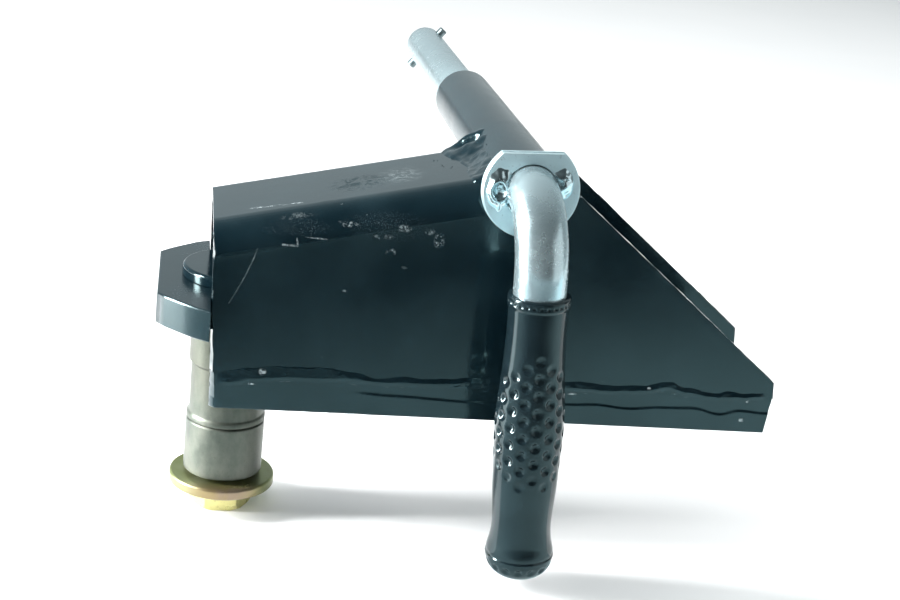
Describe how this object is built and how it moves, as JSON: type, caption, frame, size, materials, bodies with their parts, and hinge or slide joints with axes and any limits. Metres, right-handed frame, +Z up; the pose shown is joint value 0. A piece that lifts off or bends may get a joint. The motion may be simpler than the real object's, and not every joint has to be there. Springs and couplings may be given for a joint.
{
  "type": "swing arm with crank handle",
  "caption": "Welded steel channel swing arm with a pivot post below one end and a gripped crank that slides and turns in a cross sleeve on its crest.",
  "frame": {"origin": "on the pivot post's axis, at the underside of the pivot plate where the carrier's top face bears", "axes": "+Z up the pivot axis, +X along the arm from the pivot, +Y along the crank's shaft away from its handle"},
  "size_m": [0.2726, 0.3723, 0.1788],
  "materials": {
    "black_enamel": "gloss black enamel",
    "bare_steel": "turned and oiled",
    "yellow_zinc": "yellow passivated zinc",
    "bright_zinc": "bright zinc plate",
    "dark_steel": "hardened pin",
    "grip_rubber": "moulded satin"
  },
  "bodies": {
    "arm": {"arm_channel": "black_enamel", "front_foot_strip": "black_enamel", "rear_foot_strip": "black_enamel", "front_seam_weld": "black_enamel", "rear_seam_weld": "black_enamel", "crank_sleeve": "black_enamel", "web_weld": "black_enamel", "rear_sleeve_weld": "black_enamel", "pivot_plate": "black_enamel", "post_head": "black_enamel", "pivot_post": "bare_steel", "large_washer": "yellow_zinc", "pivot_bolt": "yellow_zinc"},
    "flange_plate": {"thrust_washer": "bright_zinc"},
    "crank": {"crank_tube": "bright_zinc", "crank_flange": "bright_zinc", "flange_weld_left": "bright_zinc", "flange_weld_right": "bright_zinc", "cross_pin": "dark_steel", "grip": "grip_rubber"},
    "bush": {"lower_bush": "bare_steel"}
  },
  "joints": [
    {"name": "crank_slide", "type": "slide", "parent": "arm", "child": "flange_plate", "axis": [0, -1, 0], "range_m": [0, 0.139]},
    {"name": "crank_turn", "type": "hinge", "parent": "flange_plate", "child": "crank", "pos_m": [0.1145, 0, 0.07], "axis": [0, -1, 0], "continuous": true},
    {"name": "bush_turn", "type": "hinge", "parent": "arm", "child": "bush", "pos_m": [0, 0, -0.064], "axis": [0, 0, 1], "continuous": true}
  ]
}
